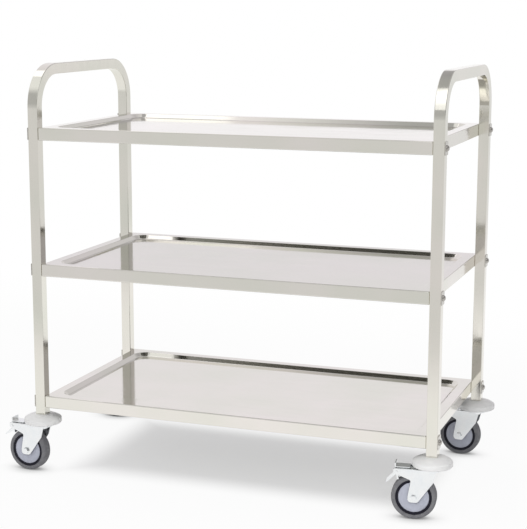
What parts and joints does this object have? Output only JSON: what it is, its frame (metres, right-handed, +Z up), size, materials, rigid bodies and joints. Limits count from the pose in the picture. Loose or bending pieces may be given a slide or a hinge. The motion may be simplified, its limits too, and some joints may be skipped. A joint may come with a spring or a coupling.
{
  "type": "serving trolley",
  "caption": "Tiered serving trolley: pressed trays bolted between bent square-tube end frames with push handles, on swivel casters with bumper discs and pedal brakes.",
  "frame": {"origin": "on the floor, at the middle of the rectangle of the four posts", "axes": "+X along the trays to the right, +Y to the back, +Z up; the braked casters are at the front, -Y"},
  "size_m": [1.0997, 0.569, 0.9735],
  "materials": {
    "frame_steel": "polished stainless tube",
    "tray_steel": "mirror-polished stainless sheet",
    "bolt_steel": "polished",
    "plate_steel": "plain steel plate",
    "zinc_steel": "bright zinc plate",
    "bumper_plastic": "soft grey moulding",
    "core_plastic": "dark moulding",
    "cover_plastic": "blue-grey moulding",
    "tyre_rubber": "grey rubber"
  },
  "bodies": {
    "trolley_frame": {"bolt_plates": "plate_steel", "bottom_tray": "tray_steel", "front_left_bumper_disc": "bumper_plastic", "front_left_caster_stem": "zinc_steel", "front_left_swivel_retainer": "zinc_steel", "front_left_upper_race": "zinc_steel", "front_right_bumper_disc": "bumper_plastic", "front_right_caster_stem": "zinc_steel", "front_right_swivel_retainer": "zinc_steel", "front_right_upper_race": "zinc_steel", "left_end_frame": "frame_steel", "middle_tray": "tray_steel", "post_inserts": "zinc_steel", "rear_left_bumper_disc": "bumper_plastic", "rear_left_caster_stem": "zinc_steel", "rear_left_swivel_retainer": "zinc_steel", "rear_left_upper_race": "zinc_steel", "rear_right_bumper_disc": "bumper_plastic", "rear_right_caster_stem": "zinc_steel", "rear_right_swivel_retainer": "zinc_steel", "rear_right_upper_race": "zinc_steel", "right_end_frame": "frame_steel", "top_tray": "tray_steel", "tray_bolts": "bolt_steel", "tray_nuts": "bolt_steel"},
    "front_left_swivel": {"front_left_axle_bolt": "zinc_steel", "front_left_axle_sleeve": "zinc_steel", "front_left_brake_pin": "zinc_steel", "front_left_brake_spring": "zinc_steel", "front_left_fork": "zinc_steel", "front_left_swivel_balls": "zinc_steel"},
    "front_left_wheel": {"front_left_hub_covers": "cover_plastic", "front_left_tyre": "tyre_rubber", "front_left_wheel_core": "core_plastic"},
    "front_left_pedal": {"front_left_brake_pedal": "zinc_steel"},
    "front_right_swivel": {"front_right_axle_bolt": "zinc_steel", "front_right_axle_sleeve": "zinc_steel", "front_right_brake_pin": "zinc_steel", "front_right_brake_spring": "zinc_steel", "front_right_fork": "zinc_steel", "front_right_swivel_balls": "zinc_steel"},
    "front_right_wheel": {"front_right_hub_covers": "cover_plastic", "front_right_tyre": "tyre_rubber", "front_right_wheel_core": "core_plastic"},
    "front_right_pedal": {"front_right_brake_pedal": "zinc_steel"},
    "rear_left_swivel": {"rear_left_axle_bolt": "zinc_steel", "rear_left_axle_sleeve": "zinc_steel", "rear_left_fork": "zinc_steel", "rear_left_swivel_balls": "zinc_steel"},
    "rear_left_wheel": {"rear_left_hub_covers": "cover_plastic", "rear_left_tyre": "tyre_rubber", "rear_left_wheel_core": "core_plastic"},
    "rear_right_swivel": {"rear_right_axle_bolt": "zinc_steel", "rear_right_axle_sleeve": "zinc_steel", "rear_right_fork": "zinc_steel", "rear_right_swivel_balls": "zinc_steel"},
    "rear_right_wheel": {"rear_right_hub_covers": "cover_plastic", "rear_right_tyre": "tyre_rubber", "rear_right_wheel_core": "core_plastic"}
  },
  "joints": [
    {"name": "front_left_swivel_turn", "type": "hinge", "parent": "trolley_frame", "child": "front_left_swivel", "pos_m": [-0.4775, -0.24, 0.1155], "axis": [0, 0, 1], "continuous": true},
    {"name": "front_left_wheel_spin", "type": "hinge", "parent": "front_left_swivel", "child": "front_left_wheel", "pos_m": [-0.51595, -0.23799, 0.05], "axis": [0.0523, 0.9986, 0], "continuous": true},
    {"name": "front_left_brake_press", "type": "hinge", "parent": "front_left_swivel", "child": "front_left_pedal", "pos_m": [-0.5539, -0.236, 0.107], "axis": [-0.0523, -0.9986, 0], "range_deg": [0, 24]},
    {"name": "front_right_swivel_turn", "type": "hinge", "parent": "trolley_frame", "child": "front_right_swivel", "pos_m": [0.4775, -0.24, 0.1155], "axis": [0, 0, 1], "continuous": true},
    {"name": "front_right_wheel_spin", "type": "hinge", "parent": "front_right_swivel", "child": "front_right_wheel", "pos_m": [0.43938, -0.24536, 0.05], "axis": [-0.1392, 0.9903, 0], "continuous": true},
    {"name": "front_right_brake_press", "type": "hinge", "parent": "front_right_swivel", "child": "front_right_pedal", "pos_m": [0.40174, -0.25065, 0.107], "axis": [0.1392, -0.9903, 0], "range_deg": [0, 24]},
    {"name": "rear_left_swivel_turn", "type": "hinge", "parent": "trolley_frame", "child": "rear_left_swivel", "pos_m": [-0.4775, 0.24, 0.1155], "axis": [0, 0, 1], "continuous": true},
    {"name": "rear_left_wheel_spin", "type": "hinge", "parent": "rear_left_swivel", "child": "rear_left_wheel", "pos_m": [-0.516, 0.24, 0.05], "axis": [0, 1, 0], "continuous": true},
    {"name": "rear_right_swivel_turn", "type": "hinge", "parent": "trolley_frame", "child": "rear_right_swivel", "pos_m": [0.4775, 0.24, 0.1155], "axis": [0, 0, 1], "continuous": true},
    {"name": "rear_right_wheel_spin", "type": "hinge", "parent": "rear_right_swivel", "child": "rear_right_wheel", "pos_m": [0.43905, 0.24202, 0.05], "axis": [0.0523, 0.9986, 0], "continuous": true}
  ]
}
